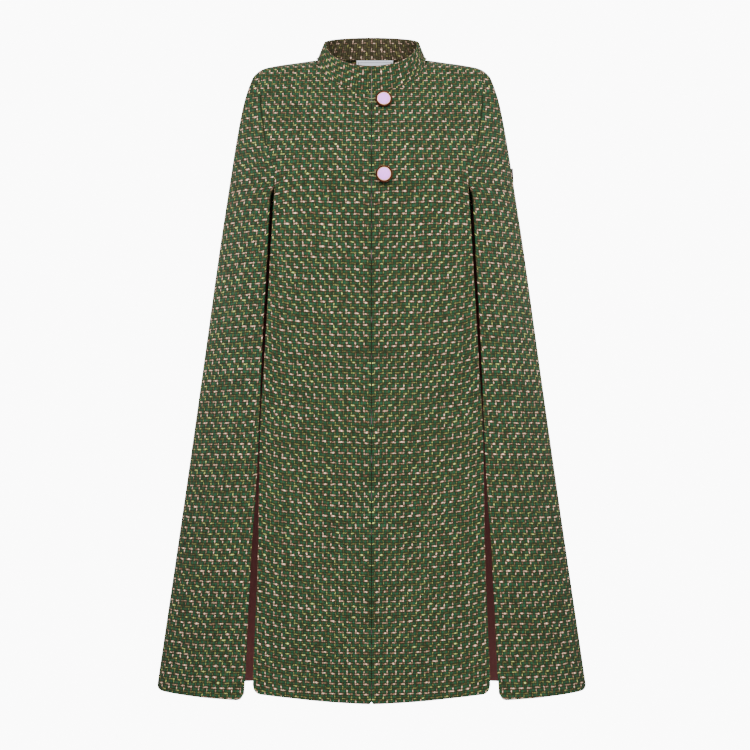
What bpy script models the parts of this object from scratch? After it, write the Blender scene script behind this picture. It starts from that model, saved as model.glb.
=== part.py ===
"""Tweed cape, hollow and filled out as if worn.

Two fronts meet edge to edge, two side panels fall over the arms, and a back, a stand collar and a lining
complete the cloth. Two buttons with thread loops, a plain neck label and a plain tab are sewn on.

Metres, +Z up. The front faces -Y and +X is the wearer's left. The origin lies on the centre line, at the
height where the neck seam crosses the shoulder seams.
"""
import math
from collections import namedtuple

import bmesh
import bpy
import numpy as np
from mathutils import Matrix, Vector
from mathutils.bvhtree import BVHTree

# Cloth thicknesses, and the gap left between pieces that are sewn together
CLOTH = 0.0025
LINING_CLOTH = 0.001
COLLAR_CLOTH = 0.0045
LABEL_CLOTH = 0.0005
LABEL_GAP = 0.0008
TAB_CLOTH = 0.002
SEAM = 0.0003

# Neck seam: half width at the shoulders, drop at the centre front, rise at the centre back
NECK_HALF_WIDTH = 0.0815
NECK_DROP = 0.056
NECK_RISE = 0.0055

# Top edge of the collar: half width, reach to the front and back, heights at front, side and back
COLLAR_HALF_WIDTH = 0.0708
COLLAR_FRONT = 0.066
COLLAR_BACK = 0.052
COLLAR_HEIGHTS = {"front": -0.0177, "side": 0.0267, "back": 0.0396}
COLLAR_ROWS = 3

# Centre front opening, hem height, and how the fronts' hem rises and rounds at its corners
HALF_OPENING = 0.0005
HEM = -0.946
FRONT_HEM_RISE = 0.011
FRONT_HEM_POWER = 1.3
CENTRE_CORNER = 0.0035
FRONT_CORNER = 0.012
SIDE_CORNER = 0.010
SIDE_HEM_LENGTH = 0.44
CORNER_PLACES = (0.29, 1.0)

# Shoulder point where the armhole seam crosses the shoulder seam
SHOULDER_X = 0.164
SHOULDER_DEPTH = 0.1
SHOULDER_SAMPLES = 2001

# Level sections of the outer surface: half width at the sides, reach of the front and of the back from
# the centre, how far behind the centre the side line runs, and how sharply the section turns there
Section = namedtuple("Section", "height half_width front back side power")
SECTIONS = (
    Section(-0.946, 0.3250, 0.150, 0.140, 0.030, 1.20),
    Section(-0.645, 0.2800, 0.148, 0.137, 0.020, 1.15),
    Section(-0.465, 0.2540, 0.147, 0.134, 0.014, 1.10),
    Section(-0.285, 0.2285, 0.145, 0.127, 0.009, 1.04),
    Section(-0.195, 0.2145, 0.141, 0.119, 0.006, 1.00),
    Section(-0.135, 0.2050, 0.121, 0.109, 0.004, 0.95),
    Section(-0.090, 0.1970, 0.095, 0.098, 0.003, 0.90),
    Section(-0.063, 0.1910, 0.077, 0.089, 0.002, 0.86),
    Section(-0.036, 0.1820, 0.058, 0.078, 0.001, 0.82),
    Section(-0.027, 0.1780, 0.050, 0.074, 0.001, 0.81),
    Section(-0.018, 0.1690, 0.041, 0.069, 0.000, 0.80),
    Section(-0.0135, 0.1600, 0.035, 0.066, 0.000, 0.80),
    Section(-0.009, 0.1380, 0.028, 0.063, 0.000, 0.80),
    Section(-0.0045, 0.1070, 0.021, 0.060, 0.000, 0.80),
    Section(0.000, 0.0815, 0.013, 0.058, 0.000, 0.80),
    Section(0.014, 0.0700, 0.002, 0.050, 0.000, 0.80),
)

# Panel edges as distances from the centre plane: the front's armhole and slit edge, the side panel's
# edge beside it, and the seam between side panel and back
Edge = namedtuple("Edge", "height front side back")
EDGES = (
    Edge(-0.946, 0.1735, 0.1865, 0.2000),
    Edge(-0.904, 0.1721, 0.1840, 0.1970),
    Edge(-0.721, 0.1651, 0.1749, 0.1855),
    Edge(-0.643, 0.1640, 0.1691, 0.1810),
    Edge(-0.565, 0.1627, 0.1650, 0.1760),
    Edge(-0.434, 0.1554, 0.1601, 0.1680),
    Edge(-0.302, 0.1478, 0.1530, 0.1585),
    Edge(-0.223, 0.1432, 0.1490, 0.1525),
    Edge(-0.206, 0.1421, 0.1470, 0.1510),
    Edge(-0.194, 0.1416, 0.1416, 0.1503),
    Edge(-0.116, 0.1589, 0.1589, 0.1575),
    Edge(-0.053, 0.1655, 0.1655, 0.1630),
    Edge(-0.0155, 0.1640, 0.1640, 0.1640),
)

# Heights of the cross rows where they reach the front's armhole and slit edge
ROW_LEVELS = (-0.0155, -0.018, -0.025, -0.038, -0.056, -0.082, -0.115, -0.155, -0.194,
              -0.24, -0.31, -0.40, -0.50, -0.61, -0.72, -0.83, -0.923)
SEAM_ROWS = 8
NECK_STATIONS = 5
SHOULDER_STATIONS = (0.1019, 0.1225, 0.1400)
CAP_POWER = 2.2
FADE_POWER = 3

# Buttons on the left front, which droop on their shanks, and the loops that reach them from the right
Button = namedtuple("Button", "name height droop")
BUTTONS = (
    Button("upper", -0.0708, math.radians(18)),
    Button("lower", -0.1835, math.radians(10)),
)
BUTTON_X = 0.0178
BUTTON_RADIUS = 0.0122
FACE_RADIUS = 0.0100
BUTTON_STEPS = 20
SHANK_RADIUS = 0.0028
SHANK_HEIGHT = 0.0043
FACE_SEAT = 0.0018
RIM_LIP = 0.0016
RIM_ROUND = 0.0006
FACE_DOME = 0.0008
FACE_CURVE = ((0.0, 1.0), (0.5, 0.75), (0.85, 0.0), (1.0, -1.0))
LOOP_RADIUS = 0.0009
LOOP_ROOT_X = -0.003
LOOP_ROOT_HALF = 0.002
LOOP_ARC_POINTS = 9
LOOP_RUN_POINTS = 5

# Neck label and tab, as places between the stations of the panel that carries them; the label's columns
# are counted from the centre back, and its top stands a little over the neck seam
LABEL_ROWS = (-0.8, 0.0, 1.0, 2.0, 3.0)
LABEL_COLUMNS = (-0.94, 0.0, 1.0, 1.37)
TAB_ROWS = (3.43, 3.54, 3.64)
TAB_COLUMNS = (9.9, 10.0, 10.1)
LINING_HEM_SHARE = 0.012

# Steps for the slopes of a surface, and the angle from which an edge between facets is sharp
ANGLE_STEP = math.radians(2.0)
HEIGHT_STEP = 0.0015
SHARP_ANGLE = math.radians(50)

Panel = namedtuple("Panel", "height angle facing")


def monotone(rows, column):
    """Smooth curve through one column of a table, without overshoot, as a function of height."""
    table = sorted((row.height, getattr(row, column)) for row in rows)
    heights, values = np.array(table).T
    spans = np.diff(heights)
    slopes = np.diff(values) / spans
    tangents = np.concatenate((slopes[:1], np.zeros(len(slopes) - 1), slopes[-1:]))
    before, after = slopes[:-1], slopes[1:]
    same_way = before * after > 0
    tangents[1:-1][same_way] = (2 * before * after)[same_way] / (before + after)[same_way]

    def value(height):
        height = np.clip(height, heights[0], heights[-1])
        i = np.clip(np.searchsorted(heights, height) - 1, 0, len(spans) - 1)
        t = (height - heights[i]) / spans[i]
        ends = (1 + 2 * t) * (1 - t) ** 2 * values[i] + t * t * (3 - 2 * t) * values[i + 1]
        bends = t * (1 - t) ** 2 * tangents[i] + t * t * (t - 1) * tangents[i + 1]
        return ends + bends * spans[i]

    return value


half_width = monotone(SECTIONS, "half_width")
front_reach = monotone(SECTIONS, "front")
back_reach = monotone(SECTIONS, "back")
side_line = monotone(SECTIONS, "side")
turn_power = monotone(SECTIONS, "power")
front_edge = monotone(EDGES, "front")
side_edge = monotone(EDGES, "side")
back_seam = monotone(EDGES, "back")


def ridge(x):
    """Height of the shoulder line at a distance from the centre plane."""
    heights = np.linspace(-SHOULDER_DEPTH, 0.0, SHOULDER_SAMPLES)
    return np.interp(x, half_width(heights)[::-1], heights[::-1])


def body(height, angle):
    """Outer surface of the cape; the angle runs from the centre front round the left side to the back."""
    turn = np.abs(np.cos(angle)) ** turn_power(height)
    ahead = side_line(height) - (side_line(height) + front_reach(height)) * turn
    behind = side_line(height) + (back_reach(height) - side_line(height)) * turn
    y = np.where(np.cos(angle) > 0, ahead, behind)
    return np.stack(np.broadcast_arrays(half_width(height) * np.sin(angle), y, height), axis=-1)


def outward(surface, height, angle):
    """Unit normals of a surface, from the slopes across it and up it."""
    across = surface(height, angle + ANGLE_STEP) - surface(height, angle - ANGLE_STEP)
    up = surface(height + HEIGHT_STEP, angle) - surface(height - HEIGHT_STEP, angle)
    normal = np.cross(across, up)
    return normal / np.linalg.norm(normal, axis=-1, keepdims=True)


def layer(panel, depth):
    """A panel's grid of points, a depth under the outer surface, kept off the shoulder seam."""
    points = body(panel.height, panel.angle)
    seam_line = side_line(panel.height) + panel.facing * SEAM / 2
    if panel.facing < 0:
        points[..., 1] = np.minimum(points[..., 1], seam_line)
    if panel.facing > 0:
        points[..., 1] = np.maximum(points[..., 1], seam_line)
    return points - depth * outward(body, panel.height, panel.angle)


def patch(points, rows, columns):
    """Points at places between a grid's stations, on the straight lines that join them."""
    row = np.asarray(rows, dtype=float)[:, None]
    column = np.asarray(columns, dtype=float)[None, :]
    r = np.minimum(row.astype(int), points.shape[0] - 2)
    c = np.minimum(column.astype(int), points.shape[1] - 2)
    down = (row - r)[..., None]
    over = (column - c)[..., None]
    upper = (1 - over) * points[r, c] + over * points[r, c + 1]
    lower = (1 - over) * points[r + 1, c] + over * points[r + 1, c + 1]
    return (1 - down) * upper + down * lower


def corner(distance, radius):
    """How far a rounded corner lifts the hem at a distance from the edge."""
    inside = np.clip(radius - distance, 0, radius)
    return radius - np.sqrt(radius ** 2 - inside ** 2)


def neck_height(x, drop):
    """Height of the neck seam at a distance from the centre plane, an ellipse seen from the front."""
    return -drop * np.sqrt(np.clip(1 - (x / NECK_HALF_WIDTH) ** 2, 0, 1))


def row_shares():
    """How far down its column each cross row lies, from 0 at the top to 1 at the hem."""
    levels = np.array(ROW_LEVELS)
    return (levels - levels[0]) / (levels[-1] - levels[0])


def neck_stations():
    return NECK_HALF_WIDTH * np.sin(np.linspace(0, math.pi / 2, NECK_STATIONS + 1))


def front_panel():
    """The left front, from the centre edge out to the armhole seam and the slit."""
    hem_edge = float(front_edge(HEM))
    corner_stations = [SHOULDER_X * (1 - share * FRONT_CORNER / hem_edge) for share in CORNER_PLACES[::-1]]
    opening = [HALF_OPENING, HALF_OPENING + CENTRE_CORNER]
    outer = list(SHOULDER_STATIONS) + corner_stations + [SHOULDER_X - SEAM / 2]
    x_top = np.array(opening + list(neck_stations()[1:]) + outer)
    top = np.where(x_top < NECK_HALF_WIDTH, neck_height(x_top, NECK_DROP), ridge(x_top))
    x_hem = x_top * hem_edge / front_edge(top)
    hem = HEM + FRONT_HEM_RISE * (x_hem / x_hem[-1]) ** FRONT_HEM_POWER
    hem = hem + corner(x_hem[-1] - x_hem, FRONT_CORNER) + corner(x_hem - x_hem[0], CENTRE_CORNER)
    height = top + (hem - top) * row_shares()[:, None]
    x = x_top * front_edge(height) / front_edge(top)
    return Panel(height, np.arcsin(np.clip(x / half_width(height), -1, 1)), -1)


def back_panel():
    """The whole back, from the right seam across the centre to the left seam."""
    half = list(neck_stations()) + list(SHOULDER_STATIONS) + [SHOULDER_X - SEAM / 2]
    x_top = np.array([-x for x in half[:0:-1]] + half)
    reach = np.abs(x_top)
    top = np.where(reach < NECK_HALF_WIDTH, neck_height(reach, -NECK_RISE), ridge(reach))
    height = top + (HEM - top) * row_shares()[:, None]
    x = x_top * back_seam(height) / back_seam(top)
    return Panel(height, math.pi - np.arcsin(np.clip(x / half_width(height), -1, 1)), 1)


def side_panel(front, back):
    """The left side panel, hung from the armhole seam that runs over the shoulder."""
    up_front = front.height[SEAM_ROWS::-1, -1]
    down_back = back.height[1:SEAM_ROWS + 1, -1]

    def front_angle(height):
        return np.arcsin(np.clip((side_edge(height) + SEAM / 2) / half_width(height), -1, 1))

    def back_angle(height):
        return math.pi - np.arcsin(np.clip((back_seam(height) + SEAM / 2) / half_width(height), -1, 1))

    seam_height = np.concatenate((up_front, down_back))
    seam_height[SEAM_ROWS] = ridge(SHOULDER_X + SEAM / 2)
    seam_angle = np.concatenate((front_angle(up_front), back_angle(down_back)))
    even = np.linspace(0, 1, len(seam_height))
    rounding = [share * SIDE_CORNER / SIDE_HEM_LENGTH for share in CORNER_PLACES]
    share = np.sort(np.concatenate((even, rounding)))
    top = np.interp(share, even, seam_height)
    top_angle = np.interp(share, even, seam_angle)
    hem = HEM + corner(share * SIDE_HEM_LENGTH, SIDE_CORNER)

    seam_levels = back.height[SEAM_ROWS:, -1]
    straight = ((seam_levels - seam_levels[0]) / (HEM - seam_levels[0]))[:, None]
    down = np.linspace(0, 1, len(seam_levels))[:, None]
    swell = np.sin(math.pi * share)
    height = top + (hem - top) * ((1 - swell) * straight + swell * down ** CAP_POWER)

    def spread(level):
        return (1 - share) * front_angle(level) + share * back_angle(level)

    angle = spread(height) + (top_angle - spread(top)) * (1 - down) ** FADE_POWER
    return Panel(height, angle, 0)


def collar_surface(rise, angle):
    """Outer face of the collar: rise 0 is the neck seam and 1 the top edge, angle 0 the centre front."""
    ahead = np.cos(angle) > 0
    x = NECK_HALF_WIDTH * np.sin(angle)
    base_height = np.where(ahead, -NECK_DROP, -NECK_RISE) * np.cos(angle)
    at_side = np.arcsin(np.clip(np.abs(x) / half_width(base_height), 0, 1))
    base = body(base_height, np.where(ahead, at_side, math.pi - at_side))
    base[..., 0] = x
    base[..., 2] += SEAM
    top_y = -np.where(ahead, COLLAR_FRONT, COLLAR_BACK) * np.cos(angle)
    end_height = np.where(ahead, COLLAR_HEIGHTS["front"], COLLAR_HEIGHTS["back"])
    side_height = COLLAR_HEIGHTS["side"]
    top_height = side_height + (end_height - side_height) * np.abs(np.cos(angle))
    top = np.stack((COLLAR_HALF_WIDTH * np.sin(angle), top_y, top_height), axis=-1)
    return base + (top - base) * np.asarray(rise)[..., None]


def collar_outward(rise, angle):
    """Unit normals of the collar, square to the straight line from its seam to its top edge."""
    across = collar_surface(rise, angle + ANGLE_STEP) - collar_surface(rise, angle - ANGLE_STEP)
    up = collar_surface(np.ones_like(rise), angle) - collar_surface(np.zeros_like(rise), angle)
    normal = np.cross(across, up)
    return normal / np.linalg.norm(normal, axis=-1, keepdims=True)


def collar_layer(depth):
    """The collar's grid of points, open at the centre front."""
    quarter = np.arcsin(neck_stations()[1:] / NECK_HALF_WIDTH)
    opening = np.arcsin(np.array([HALF_OPENING, HALF_OPENING + CENTRE_CORNER]) / NECK_HALF_WIDTH)
    half = np.concatenate((opening, quarter, math.pi - quarter[-2::-1]))
    angle = np.concatenate((half, [math.pi], 2 * math.pi - half[::-1]))[None, :]
    rise = np.linspace(1, 0, COLLAR_ROWS + 1)[:, None] + 0 * angle
    angle = angle + 0 * rise
    return collar_surface(rise, angle) - depth * collar_outward(rise, angle)


def make_material(name, colour, roughness, metallic=0.0):
    material = bpy.data.materials.new(name)
    material.use_nodes = True
    shader = material.node_tree.nodes["Principled BSDF"]
    shader.inputs["Base Color"].default_value = (*colour, 1.0)
    shader.inputs["Roughness"].default_value = roughness
    shader.inputs["Metallic"].default_value = metallic
    return material


def add_object(name, data, material):
    """Link a new object into the cape's collection, under the empty at the neck."""
    data.materials.append(material)
    item = bpy.data.objects.new(name, data)
    cape.objects.link(item)
    item.parent = hold
    return item


def wall(name, outer, inner, material):
    """A closed wall between two grids of points that have the same rows and columns."""
    rows = outer.shape[0] - 1
    columns = outer.shape[1] - 1
    bm = bmesh.new()
    bmesh.ops.create_grid(bm, x_segments=columns, y_segments=rows, size=0.5)
    station = bm.verts.layers.int.new("station")
    for vert in bm.verts:
        row = round((0.5 - vert.co.y) * rows)
        column = round((vert.co.x + 0.5) * columns)
        vert[station] = row * (columns + 1) + column
        vert.co = outer[row, column]
    inner_points = inner.reshape(-1, 3)
    pushed = bmesh.ops.extrude_face_region(bm, geom=bm.faces[:], use_keep_orig=True)
    for element in pushed["geom"]:
        if isinstance(element, bmesh.types.BMVert):
            element.co = inner_points[element[station]]
    bmesh.ops.recalc_face_normals(bm, faces=bm.faces[:])
    mesh = bpy.data.meshes.new(name)
    bm.to_mesh(mesh)
    bm.free()
    mesh.shade_smooth()
    mesh.set_sharp_from_angle(angle=SHARP_ANGLE)
    add_object(name, mesh, material)


def cloth_and_lining(name, panel, columns, mirror):
    """A panel's tweed wall, and its lining over the given columns."""
    flip = np.array((-1.0 if mirror else 1.0, 1.0, 1.0))
    wall(name, layer(panel, 0) * flip, layer(panel, CLOTH) * flip, tweed)
    last = panel.height.shape[0] - 1
    rows = list(range(1, last)) + [last - LINING_HEM_SHARE]
    faces = [patch(layer(panel, CLOTH + SEAM + depth), rows, columns) * flip for depth in (0, LINING_CLOTH)]
    wall("lining_" + name, faces[0], faces[1], lining)


def make_panels():
    front = front_panel()
    back = back_panel()
    side = side_panel(front, back)
    front_columns = range(1, front.height.shape[1] - 1)
    side_columns = range(1, side.height.shape[1])
    back_columns = range(back.height.shape[1])
    cloth_and_lining("front_left", front, front_columns, False)
    cloth_and_lining("front_right", front, front_columns, True)
    cloth_and_lining("side_left", side, side_columns, False)
    cloth_and_lining("side_right", side, side_columns, True)
    cloth_and_lining("back", back, back_columns, False)
    wall("collar", collar_layer(0), collar_layer(COLLAR_CLOTH), tweed)

    centre = (back.height.shape[1] - 1) / 2
    label_columns = [centre + column for column in LABEL_COLUMNS]
    under_lining = CLOTH + SEAM + LINING_CLOTH + LABEL_GAP
    label_faces = [patch(layer(back, under_lining + depth), LABEL_ROWS, label_columns)
                   for depth in (0, LABEL_CLOTH)]
    wall("neck_label", label_faces[0], label_faces[1], label)
    tab_faces = [patch(layer(side, -depth), TAB_ROWS, TAB_COLUMNS) for depth in (SEAM + TAB_CLOTH, SEAM)]
    wall("arm_tab", tab_faces[0], tab_faces[1], tab)


def front_facets():
    """The left front's outer facets, as a tree that a line can be traced to."""
    points = layer(front_panel(), 0)
    rows, columns = points.shape[:2]
    at = np.arange(rows * columns).reshape(rows, columns)
    facets = np.stack((at[:-1, :-1], at[1:, :-1], at[1:, 1:], at[:-1, 1:]), axis=-1)
    return BVHTree.FromPolygons(points.reshape(-1, 3).tolist(), facets.reshape(-1, 4).tolist())


def front_place(facets, x, height, lift):
    """A point at a lift above the fronts' facets, and the normal there, found from straight ahead."""
    place, normal, _, _ = facets.ray_cast(Vector((abs(x), -1.0, height)), Vector((0.0, 1.0, 0.0)))
    place = place + lift * normal
    if x < 0:
        place.x = -place.x
        normal.x = -normal.x
    return place, normal


def turned(name, profile, place, axis, material):
    """A turned piece, from a profile of (radius, height) points that runs down its outer side."""
    mesh = bpy.data.meshes.new(name)
    corners = [(radius, 0.0, height) for radius, height in profile]
    mesh.from_pydata(corners, [(i, i + 1) for i in range(len(corners) - 1)], [])
    item = add_object(name, mesh, material)
    screw = item.modifiers.new("Turn", "SCREW")
    screw.steps = BUTTON_STEPS
    screw.render_steps = BUTTON_STEPS
    screw.use_merge_vertices = True
    screw.merge_threshold = 0.00001
    item.location = place
    item.rotation_euler = axis.to_track_quat("Z", "Y").to_euler()


def make_button(button, facets):
    """A shanked rim with a domed face set into it, standing on the left front and drooping a little."""
    lift = SEAM + SHANK_RADIUS * math.sin(button.droop)
    place, normal = front_place(facets, BUTTON_X, button.height, lift)
    axis = Matrix.Rotation(button.droop, 3, "X") @ normal
    seat = SHANK_HEIGHT + FACE_SEAT
    lip = seat + RIM_LIP
    rim_profile = (
        (0, seat),
        (FACE_RADIUS, seat),
        (FACE_RADIUS, lip - RIM_ROUND),
        (FACE_RADIUS + RIM_ROUND, lip),
        (BUTTON_RADIUS - RIM_ROUND, lip - RIM_ROUND),
        (BUTTON_RADIUS, lip - 2 * RIM_ROUND),
        (BUTTON_RADIUS, SHANK_HEIGHT + 2 * RIM_ROUND),
        (BUTTON_RADIUS - 3 * RIM_ROUND, SHANK_HEIGHT),
        (SHANK_RADIUS, SHANK_HEIGHT),
        (SHANK_RADIUS, 0),
        (0, 0),
    )
    turned(f"button_{button.name}_rim", rim_profile, place, axis, copper)
    edge = FACE_RADIUS - SEAM
    base = seat + SEAM
    face_profile = [(out * edge, lip + dome * FACE_DOME) for out, dome in FACE_CURVE]
    face_profile += [(edge, base), (0, base)]
    turned(f"button_{button.name}_face", face_profile, place, axis, lilac)


def make_loop(name, height, facets):
    """A thread loop sewn to the right front, round the shank of a button on the left front."""
    bend = SHANK_RADIUS + 2 * SEAM + LOOP_RADIUS
    along = np.linspace(0, 1, LOOP_RUN_POINTS, endpoint=False)
    run = [(LOOP_ROOT_X + t * (BUTTON_X - LOOP_ROOT_X), LOOP_ROOT_HALF + t * (bend - LOOP_ROOT_HALF))
           for t in along]
    arc = np.linspace(math.pi / 2, -math.pi / 2, LOOP_ARC_POINTS)
    route = [(x, height + rise) for x, rise in run]
    route += [(BUTTON_X + bend * math.cos(a), height + bend * math.sin(a)) for a in arc]
    route += [(x, height - rise) for x, rise in run[::-1]]
    curve = bpy.data.curves.new(name, "CURVE")
    curve.dimensions = "3D"
    curve.bevel_depth = LOOP_RADIUS
    curve.bevel_resolution = 2
    curve.use_fill_caps = True
    spline = curve.splines.new("POLY")
    spline.points.add(len(route) - 1)
    for point, (x, z) in zip(spline.points, route):
        place, _ = front_place(facets, x, z, SEAM + LOOP_RADIUS)
        point.co = (*place, 1.0)
    add_object(name, curve, thread)


for item in list(bpy.data.objects):
    bpy.data.objects.remove(item, do_unlink=True)

cape = bpy.data.collections.new("tweed_cape")
bpy.context.scene.collection.children.link(cape)
hold = bpy.data.objects.new("neck_and_shoulders", None)
cape.objects.link(hold)

tweed = make_material("tweed", (0.112, 0.127, 0.065), 0.9)
lining = make_material("lining", (0.054, 0.024, 0.019), 0.45)
label = make_material("label", (0.60, 0.61, 0.64), 0.6)
tab = make_material("tab", (0.045, 0.017, 0.026), 0.7)
copper = make_material("button_rim", (0.10, 0.026, 0.013), 0.35, 0.6)
lilac = make_material("button_face", (0.72, 0.56, 0.82), 0.3)
thread = make_material("thread", (0.156, 0.156, 0.045), 0.8)

make_panels()
front_cloth = front_facets()
for button in BUTTONS:
    make_button(button, front_cloth)
    make_loop(f"loop_{button.name}", button.height, front_cloth)
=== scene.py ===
"""Looks of the tweed cape: fine cloth shells with rounded edges, the weave, lining, buttons, loops and light.

Metres, +Z up. The front faces -Y and +X is the wearer's left, as in the solids.
"""

import math
from collections import namedtuple

import bpy
import numpy as np
from mathutils import Matrix, Vector


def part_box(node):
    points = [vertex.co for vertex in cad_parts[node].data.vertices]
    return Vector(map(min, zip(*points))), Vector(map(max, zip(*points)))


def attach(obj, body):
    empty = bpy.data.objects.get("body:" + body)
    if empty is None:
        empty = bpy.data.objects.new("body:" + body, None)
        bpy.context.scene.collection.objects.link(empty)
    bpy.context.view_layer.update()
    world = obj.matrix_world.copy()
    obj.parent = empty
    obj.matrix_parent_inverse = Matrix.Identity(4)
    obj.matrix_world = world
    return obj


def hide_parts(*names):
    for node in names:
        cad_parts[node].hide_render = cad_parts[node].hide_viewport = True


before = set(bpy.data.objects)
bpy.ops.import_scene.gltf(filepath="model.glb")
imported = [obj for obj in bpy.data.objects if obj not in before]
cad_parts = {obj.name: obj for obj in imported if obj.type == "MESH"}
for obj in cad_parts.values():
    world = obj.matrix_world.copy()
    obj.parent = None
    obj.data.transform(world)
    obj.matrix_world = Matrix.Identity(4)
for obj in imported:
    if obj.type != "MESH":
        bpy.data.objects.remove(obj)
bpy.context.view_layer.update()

# Cloth thicknesses and seam gap
CLOTH = 0.0025
LINING_CLOTH = 0.001
COLLAR_CLOTH = 0.0045
LABEL_CLOTH = 0.0005
LABEL_GAP = 0.0008
SEAM = 0.0003

# Neck seam, and the collar's top edge
NECK_HALF_WIDTH = 0.0815
NECK_DROP = 0.056
NECK_RISE = 0.0055
COLLAR_HALF_WIDTH = 0.0708
COLLAR_FRONT = 0.066
COLLAR_BACK = 0.052
COLLAR_HEIGHTS = {"front": -0.0177, "side": 0.0267, "back": 0.0396}

# Centre front opening, hem and shoulder point
HALF_OPENING = 0.0002
HEM = -0.946
FRONT_HEM_RISE = 0.011
FRONT_HEM_POWER = 1.3
CENTRE_CORNER = 0.0035
FRONT_CORNER = 0.012
SIDE_CORNER = 0.010
SIDE_HEM_LENGTH = 0.44
OUTER_LIFT = 0.0065
OUTER_ROUND = 0.0028
CORNER_PLACE = 0.29
SHOULDER_X = 0.164
SHOULDER_DEPTH = 0.1
SHOULDER_SAMPLES = 2001
PANEL_END = SHOULDER_X - SEAM / 2

# Level sections of the outer surface: half width at the sides, reach of the front and of the back from
# the centre, how far behind the centre the side line runs, and how sharply the section turns there
Section = namedtuple("Section", "height half_width front back side power")
SECTIONS = [Section(*row) for row in (
    (-0.946, 0.325, 0.15, 0.14, 0.03, 1.2),
    (-0.645, 0.28, 0.148, 0.137, 0.02, 1.15),
    (-0.465, 0.254, 0.147, 0.134, 0.014, 1.1),
    (-0.285, 0.2285, 0.145, 0.127, 0.009, 1.04),
    (-0.195, 0.2145, 0.141, 0.119, 0.006, 1.0),
    (-0.135, 0.205, 0.121, 0.109, 0.004, 0.95),
    (-0.09, 0.197, 0.095, 0.098, 0.003, 0.9),
    (-0.063, 0.191, 0.077, 0.089, 0.002, 0.86),
    (-0.036, 0.182, 0.058, 0.078, 0.001, 0.82),
    (-0.027, 0.178, 0.05, 0.074, 0.001, 0.81),
    (-0.018, 0.169, 0.041, 0.069, 0.0, 0.8),
    (-0.0135, 0.16, 0.035, 0.066, 0.0, 0.8),
    (-0.009, 0.138, 0.028, 0.063, 0.0, 0.8),
    (-0.0045, 0.107, 0.021, 0.06, 0.0, 0.8),
    (0.0, 0.0815, 0.013, 0.058, 0.0, 0.8),
    (0.014, 0.07, 0.002, 0.05, 0.0, 0.8),
)]

# Panel edges as distances from the centre plane
Edge = namedtuple("Edge", "height front side back")
EDGES = [Edge(*row) for row in (
    (-0.946, 0.1735, 0.1865, 0.2),
    (-0.904, 0.1721, 0.184, 0.197),
    (-0.721, 0.1651, 0.1749, 0.1855),
    (-0.643, 0.164, 0.1691, 0.181),
    (-0.565, 0.1627, 0.165, 0.176),
    (-0.434, 0.1554, 0.1601, 0.168),
    (-0.302, 0.1478, 0.153, 0.1585),
    (-0.223, 0.1432, 0.149, 0.1525),
    (-0.206, 0.1421, 0.147, 0.151),
    (-0.194, 0.1416, 0.1416, 0.1503),
    (-0.116, 0.1589, 0.1589, 0.1575),
    (-0.053, 0.1655, 0.1655, 0.163),
    (-0.0155, 0.164, 0.164, 0.164),
)]

# Heights of the cross rows where they reach the front's armhole and slit edge
ROW_LEVELS = (-0.0155, -0.018, -0.025, -0.038, -0.056, -0.082, -0.115, -0.155, -0.194,
              -0.24, -0.31, -0.4, -0.5, -0.61, -0.72, -0.83, -0.923)
SEAM_ROWS = 8
CAP_POWER = 2.2
FADE_POWER = 3
LAST_ROW = len(ROW_LEVELS) - 1
LINING_HEM_SHARE = 0.012
LINING_LAST_ROW = LAST_ROW - LINING_HEM_SHARE

# Grid sizes of the fine shells, the share of the cloth rows above the slit, how closely columns gather at
# the panels' edges, and how the edges are rounded
FRONT_COLUMNS = 56
SIDE_COLUMNS = 64
BACK_COLUMNS = 90
CLOTH_ROWS = 200
LINING_COLUMNS = 30
LINING_ROWS = 90
COLLAR_COLUMNS = 180
COLLAR_ROWS = 10
UPPER_SHARE = 0.42
PANEL_GATHER = 0.4
BACK_GATHER = 0.3
EDGE_STEPS = 4
EDGE_INSET = 0.6
EDGE_MOST = 0.7

# The weave of the fronts by height: thread pitches, and how far the wefts have risen at the outer edge,
# evenly from the centre and close to the edge
Pitch = namedtuple("Pitch", "height warp weft even_rise edge_rise")
FRONT_PITCHES = [Pitch(*row) for row in (
    (-0.946, 0.003, 0.00365, 0.004, 0.008),
    (-0.8, 0.00297, 0.00374, 0.008, 0.006),
    (-0.6, 0.00296, 0.00384, 0.0085, 0.01),
    (-0.4, 0.00305, 0.00392, 0.006, 0.011),
    (-0.28, 0.00315, 0.004, 0.007, 0.0),
    (-0.2, 0.00322, 0.00405, 0.008, -0.009),
    (-0.1, 0.00305, 0.00395, 0.0065, 0.0),
    (0.014, 0.0029, 0.0039, 0.004, 0.0),
)]
WARP_PITCH = 0.00312
WEFT_PITCH = 0.00392
EDGE_RISE_POWER = 5
SIDE_LEAN = 0.0574
SIDE_WEFT_SLOPE = 0.04
SIDE_LEAST_SHARE = 0.6
ARC_SAMPLES = 400
ROUND_SAMPLES = 48
SHOULDER_START = -0.12
SHOULDER_FULL = -0.05
PINK_MIDDLE = 0.44

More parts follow.
